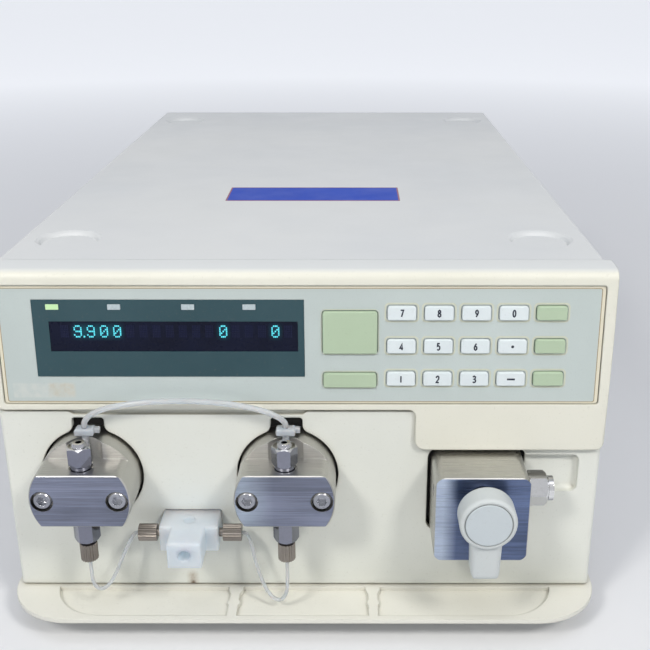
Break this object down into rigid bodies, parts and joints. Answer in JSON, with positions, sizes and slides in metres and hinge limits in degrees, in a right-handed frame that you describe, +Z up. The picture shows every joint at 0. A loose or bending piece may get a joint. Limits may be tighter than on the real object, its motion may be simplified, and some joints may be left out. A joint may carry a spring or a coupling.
{
  "type": "liquid chromatography pump",
  "caption": "Bench solvent delivery pump with twin plunger heads, drain valve knob, keypad and display on its front, a drip tray and a stackable sheet steel housing.",
  "frame": {"origin": "on the bench, under the middle of the unit's overall width and depth", "axes": "+X to the operator's right, +Y towards the back, +Z up"},
  "size_m": [0.263, 0.4634, 0.165],
  "materials": {
    "cover_enamel": "satin",
    "bezel_cream": "satin",
    "panel_cream": "satin",
    "tray_cream": "satin",
    "panel_green": "matt",
    "window_teal": "gloss",
    "tube_glass": "gloss",
    "lens_pale": "satin",
    "board_green": "matt",
    "key_white": "satin",
    "key_green": "satin",
    "foot_rubber": "matt",
    "zinc_steel": "zinc plated",
    "stainless": "brushed",
    "nut_steel": "knurled",
    "fluoropolymer": "waxy",
    "clear_tube": "translucent",
    "knob_grey": "satin",
    "cast_alloy": "as cast",
    "frame_black": "matt",
    "bronze": "sintered",
    "seal_black": "matt",
    "sapphire": "polished",
    "spring_steel": "drawn",
    "belt_rubber": "matt",
    "motor_black": "satin",
    "inlet_black": "satin",
    "core_iron": "varnished"
  },
  "bodies": {
    "housing": {"base_chassis": "zinc_steel", "top_cover": "cover_enamel", "rear_panel": "cover_enamel", "front_bezel": "bezel_cream", "control_panel": "panel_green", "display_window": "window_teal", "display_tube": "tube_glass", "status_lenses": "lens_pale", "control_board": "board_green", "front_panel": "panel_cream", "drip_tray": "tray_cream", "feet": "foot_rubber", "cover_screws": "zinc_steel", "pump_heads": "stainless", "head_screws": "stainless", "check_valves": "stainless", "tube_nuts": "nut_steel", "rinse_fittings": "fluoropolymer", "rinse_tube": "clear_tube", "inlet_block": "fluoropolymer", "inlet_tubes": "clear_tube", "valve_block": "stainless", "outlet_union": "stainless", "drive_frame": "frame_black", "bearings": "bronze", "plunger_seals": "seal_black", "return_springs": "spring_steel", "timing_belt": "belt_rubber", "motor": "motor_black", "power_inlet": "inlet_black", "transformer": "core_iron", "main_board": "board_green"},
    "key_0_cap": {"key_0": "key_white"},
    "key_1_cap": {"key_1": "key_white"},
    "key_2_cap": {"key_2": "key_white"},
    "key_3_cap": {"key_3": "key_white"},
    "key_4_cap": {"key_4": "key_white"},
    "key_5_cap": {"key_5": "key_white"},
    "key_6_cap": {"key_6": "key_white"},
    "key_7_cap": {"key_7": "key_white"},
    "key_8_cap": {"key_8": "key_white"},
    "key_9_cap": {"key_9": "key_white"},
    "key_point_cap": {"key_point": "key_white"},
    "key_minus_cap": {"key_minus": "key_white"},
    "key_function_cap": {"key_function": "key_green"},
    "key_clear_cap": {"key_clear": "key_green"},
    "key_enter_cap": {"key_enter": "key_green"},
    "key_pump_cap": {"key_pump": "key_green"},
    "key_program_cap": {"key_program": "key_green"},
    "drain_valve_knob": {"drain_knob": "knob_grey", "knob_cap": "knob_grey", "valve_stem": "stainless"},
    "left_plunger_unit": {"left_plunger": "sapphire", "left_crosshead": "stainless"},
    "right_plunger_unit": {"right_plunger": "sapphire", "right_crosshead": "stainless"},
    "left_cam_roller": {"left_roller": "stainless"},
    "right_cam_roller": {"right_roller": "stainless"},
    "camshaft": {"camshaft": "spring_steel"},
    "motor_shaft": {"motor_pulley": "cast_alloy"}
  },
  "joints": [
    {"name": "key_0_press", "type": "slide", "parent": "housing", "child": "key_0_cap", "axis": [0, 0.9987, -0.0506], "range_m": [0, 0.001], "stiffness_N_per_m": 300},
    {"name": "key_1_press", "type": "slide", "parent": "housing", "child": "key_1_cap", "axis": [0, 0.9987, -0.0506], "range_m": [0, 0.001], "stiffness_N_per_m": 300},
    {"name": "key_2_press", "type": "slide", "parent": "housing", "child": "key_2_cap", "axis": [0, 0.9987, -0.0506], "range_m": [0, 0.001], "stiffness_N_per_m": 300},
    {"name": "key_3_press", "type": "slide", "parent": "housing", "child": "key_3_cap", "axis": [0, 0.9987, -0.0506], "range_m": [0, 0.001], "stiffness_N_per_m": 300},
    {"name": "key_4_press", "type": "slide", "parent": "housing", "child": "key_4_cap", "axis": [0, 0.9987, -0.0506], "range_m": [0, 0.001], "stiffness_N_per_m": 300},
    {"name": "key_5_press", "type": "slide", "parent": "housing", "child": "key_5_cap", "axis": [0, 0.9987, -0.0506], "range_m": [0, 0.001], "stiffness_N_per_m": 300},
    {"name": "key_6_press", "type": "slide", "parent": "housing", "child": "key_6_cap", "axis": [0, 0.9987, -0.0506], "range_m": [0, 0.001], "stiffness_N_per_m": 300},
    {"name": "key_7_press", "type": "slide", "parent": "housing", "child": "key_7_cap", "axis": [0, 0.9987, -0.0506], "range_m": [0, 0.001], "stiffness_N_per_m": 300},
    {"name": "key_8_press", "type": "slide", "parent": "housing", "child": "key_8_cap", "axis": [0, 0.9987, -0.0506], "range_m": [0, 0.001], "stiffness_N_per_m": 300},
    {"name": "key_9_press", "type": "slide", "parent": "housing", "child": "key_9_cap", "axis": [0, 0.9987, -0.0506], "range_m": [0, 0.001], "stiffness_N_per_m": 300},
    {"name": "key_point_press", "type": "slide", "parent": "housing", "child": "key_point_cap", "axis": [0, 0.9987, -0.0506], "range_m": [0, 0.001], "stiffness_N_per_m": 300},
    {"name": "key_minus_press", "type": "slide", "parent": "housing", "child": "key_minus_cap", "axis": [0, 0.9987, -0.0506], "range_m": [0, 0.001], "stiffness_N_per_m": 300},
    {"name": "key_function_press", "type": "slide", "parent": "housing", "child": "key_function_cap", "axis": [0, 0.9987, -0.0506], "range_m": [0, 0.001], "stiffness_N_per_m": 300},
    {"name": "key_clear_press", "type": "slide", "parent": "housing", "child": "key_clear_cap", "axis": [0, 0.9987, -0.0506], "range_m": [0, 0.001], "stiffness_N_per_m": 300},
    {"name": "key_enter_press", "type": "slide", "parent": "housing", "child": "key_enter_cap", "axis": [0, 0.9987, -0.0506], "range_m": [0, 0.001], "stiffness_N_per_m": 300},
    {"name": "key_pump_press", "type": "slide", "parent": "housing", "child": "key_pump_cap", "axis": [0, 0.9987, -0.0506], "range_m": [0, 0.001], "stiffness_N_per_m": 300},
    {"name": "key_program_press", "type": "slide", "parent": "housing", "child": "key_program_cap", "axis": [0, 0.9987, -0.0506], "range_m": [0, 0.001], "stiffness_N_per_m": 300},
    {"name": "knob_turn", "type": "hinge", "parent": "housing", "child": "drain_valve_knob", "pos_m": [0.0757, -0.21225, 0.0734], "axis": [0, -1, 0], "range_deg": [0, 180]},
    {"name": "camshaft_turn", "type": "hinge", "parent": "housing", "child": "camshaft", "pos_m": [-0.03, -0.08505, 0.0722], "axis": [1, 0, 0], "range_deg": [-75, 75]},
    {"name": "motor_turn", "type": "hinge", "parent": "housing", "child": "motor_shaft", "pos_m": [0.038, 0.00695, 0.0722], "axis": [1, 0, 0], "range_deg": [-228, 228]},
    {"name": "left_stroke", "type": "slide", "parent": "housing", "child": "left_plunger_unit", "axis": [0, -1, 0], "range_m": [-0.005, 0.005], "deforming": ["return_springs"]},
    {"name": "right_stroke", "type": "slide", "parent": "housing", "child": "right_plunger_unit", "axis": [0, -1, 0], "range_m": [-0.005, 0.005], "deforming": ["return_springs"]},
    {"name": "left_roller_spin", "type": "hinge", "parent": "left_plunger_unit", "child": "left_cam_roller", "pos_m": [-0.0915, -0.11605, 0.0722], "axis": [1, 0, 0], "continuous": true},
    {"name": "right_roller_spin", "type": "hinge", "parent": "right_plunger_unit", "child": "right_cam_roller", "pos_m": [-0.0065, -0.11605, 0.0722], "axis": [1, 0, 0], "continuous": true}
  ],
  "couplings": [
    {"joint": "right_stroke", "follows": "camshaft_turn", "m_per_rad": 0.0038},
    {"joint": "left_stroke", "follows": "camshaft_turn", "m_per_rad": -0.0038},
    {"joint": "motor_turn", "follows": "camshaft_turn", "ratio": 3}
  ]
}
